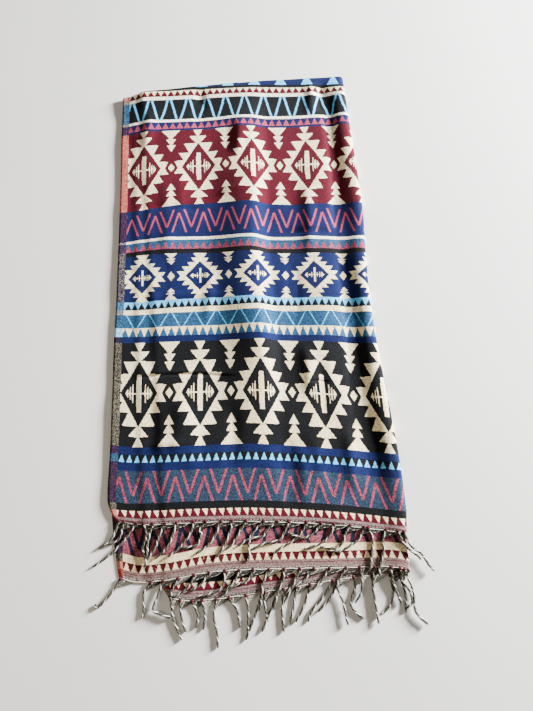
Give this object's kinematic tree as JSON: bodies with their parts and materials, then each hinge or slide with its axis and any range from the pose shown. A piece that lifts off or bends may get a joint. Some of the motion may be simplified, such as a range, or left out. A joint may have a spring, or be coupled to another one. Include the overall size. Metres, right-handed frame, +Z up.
{
  "type": "folded shawl",
  "caption": "Fringed jacquard-woven shawl in banded geometric pattern, folded in four and laid flat.",
  "frame": {"origin": "centre of the footprint of cloth and fringe, on the surface that the shawl lies on", "axes": "+Y from the fringed ends towards the crosswise fold, +X towards the lengthwise fold, +Z up through the layers"},
  "size_m": [0.4529, 0.8583, 0.0184],
  "materials": {
    "woven_face": "matt jacquard double weave, face side",
    "woven_reverse": "matt jacquard double weave, reverse side",
    "woven_hidden": "matt woven layers inside the fold",
    "fringe_yarn": "twisted black and off-white yarn"
  },
  "bodies": {
    "root": {"outer_half": "woven_face", "inner_half_core": "woven_hidden", "inner_half_ends": "woven_reverse", "fringe_first_hem": "fringe_yarn", "fringe_second_hem": "fringe_yarn", "fringe_third_hem": "fringe_yarn", "fringe_fourth_hem": "fringe_yarn"}
  },
  "joints": []
}
